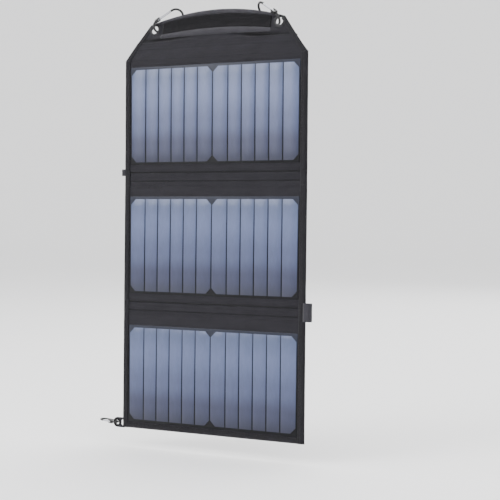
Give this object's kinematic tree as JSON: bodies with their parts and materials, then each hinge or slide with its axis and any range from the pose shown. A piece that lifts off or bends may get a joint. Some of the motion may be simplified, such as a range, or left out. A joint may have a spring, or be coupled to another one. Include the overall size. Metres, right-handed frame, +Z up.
{
  "type": "folding solar charger",
  "caption": "Folding solar charger: hinged rectangular cell panels in black fabric hang in a column from a tapered pocket flap with carabiners.",
  "frame": {"origin": "midway between the upper bow centres of the two hanging carabiners", "axes": "+Z up, the cells face -Y, +X to the right as seen from the front"},
  "size_m": [0.3325, 0.0469, 0.5763],
  "materials": {
    "woven_fabric": "fine plain weave",
    "binding_tape": "folded tape",
    "webbing": "ribbed webbing",
    "net_fabric": "knitted net",
    "clear_film": "satin clear film",
    "solar_cell": "dark blue silicon under film",
    "laminate": "dark backsheet",
    "stiffener_board": "plain board",
    "lead_insulation": "flat sheathed ribbon",
    "bright_metal": "polished",
    "black_anodised_metal": "black anodised satin",
    "black_plastic": "fine texture",
    "circuit_board": "coated board",
    "light_lens": "frosted"
  },
  "bodies": {
    "hanger": {"clip_left_body": "black_anodised_metal", "clip_left_pin": "bright_metal", "clip_right_body": "black_anodised_metal", "clip_right_pin": "bright_metal"},
    "flap": {"flap_face": "woven_fabric", "flap_net": "net_fabric", "flap_hem": "binding_tape", "flap_band": "binding_tape", "eyelet_left": "bright_metal", "eyelet_right": "bright_metal", "pocket": "woven_fabric", "output_shell_front": "black_plastic", "output_shell_rear": "black_plastic", "output_board": "circuit_board", "output_port_left": "bright_metal", "output_port_right": "bright_metal", "output_light": "light_lens", "fold_strip_a": "woven_fabric", "lead_a": "lead_insulation"},
    "panel_a": {"panel_a_film": "clear_film", "panel_a_cells": "solar_cell", "panel_a_laminate": "laminate", "panel_a_front_cover": "woven_fabric", "panel_a_board": "stiffener_board", "panel_a_back_cover": "woven_fabric", "panel_a_binding_left": "binding_tape", "panel_a_binding_right": "binding_tape", "loop_left": "webbing", "fold_strip_b": "woven_fabric", "lead_b": "lead_insulation"},
    "panel_b": {"panel_b_film": "clear_film", "panel_b_cells": "solar_cell", "panel_b_laminate": "laminate", "panel_b_front_cover": "woven_fabric", "panel_b_board": "stiffener_board", "panel_b_back_cover": "woven_fabric", "panel_b_binding_left": "binding_tape", "panel_b_binding_right": "binding_tape", "loop_right": "webbing", "fold_strip_c": "woven_fabric", "lead_c": "lead_insulation"},
    "panel_c": {"panel_c_film": "clear_film", "panel_c_cells": "solar_cell", "panel_c_laminate": "laminate", "panel_c_front_cover": "woven_fabric", "panel_c_board": "stiffener_board", "panel_c_back_cover": "woven_fabric", "panel_c_binding_left": "binding_tape", "panel_c_binding_right": "binding_tape", "bottom_binding": "binding_tape", "corner_tab": "webbing", "corner_eyelet": "bright_metal"},
    "gate_left": {"clip_left_gate": "bright_metal"},
    "gate_right": {"clip_right_gate": "bright_metal"},
    "corner_clip": {"corner_clip_body": "black_anodised_metal", "corner_clip_pin": "bright_metal"},
    "corner_gate": {"corner_clip_gate": "bright_metal"}
  },
  "joints": [
    {"name": "flap_swing", "type": "hinge", "parent": "hanger", "child": "flap", "pos_m": [0, -0.00954, -0.0233], "axis": [-1, 0, 0], "range_deg": [-13, 22]},
    {"name": "fold_top", "type": "hinge", "parent": "flap", "child": "panel_a", "pos_m": [0, -0.02279, -0.05243], "axis": [-1, 0, 0], "range_deg": [-12, 169], "deforming": ["fold_strip_a", "lead_a"]},
    {"name": "fold_middle", "type": "hinge", "parent": "panel_a", "child": "panel_b", "pos_m": [0, -0.02523, -0.22617], "axis": [-1, 0, 0], "range_deg": [-19, 179.5], "deforming": ["fold_strip_b", "lead_b"]},
    {"name": "fold_lower", "type": "hinge", "parent": "panel_b", "child": "panel_c", "pos_m": [0, -0.02785, -0.40168], "axis": [-1, 0, 0], "range_deg": [-11, 180.2], "deforming": ["fold_strip_c", "lead_c"]},
    {"name": "gate_left_hinge", "type": "hinge", "parent": "hanger", "child": "gate_left", "pos_m": [-0.08934, -0.0123, -0.00938], "axis": [-0.468, 0.7735, 0.4274], "range_deg": [0, 26], "stiffness_Nm_per_rad": 0.004, "springref_deg": -28.65},
    {"name": "gate_right_hinge", "type": "hinge", "parent": "hanger", "child": "gate_right", "pos_m": [0.08934, -0.0123, -0.00938], "axis": [-0.468, -0.7735, -0.4274], "range_deg": [0, 26], "stiffness_Nm_per_rad": 0.004, "springref_deg": -28.65},
    {"name": "corner_clip_swing", "type": "hinge", "parent": "panel_c", "child": "corner_clip", "pos_m": [-0.1515, -0.02988, -0.56418], "axis": [0, 0.9996, -0.0279], "range_deg": [-100, 75]},
    {"name": "corner_gate_hinge", "type": "hinge", "parent": "corner_clip", "child": "corner_gate", "pos_m": [-0.16076, -0.03616, -0.5632], "axis": [-0.0872, -0.0278, -0.9958], "range_deg": [0, 30], "stiffness_Nm_per_rad": 0.002, "springref_deg": -28.65}
  ]
}
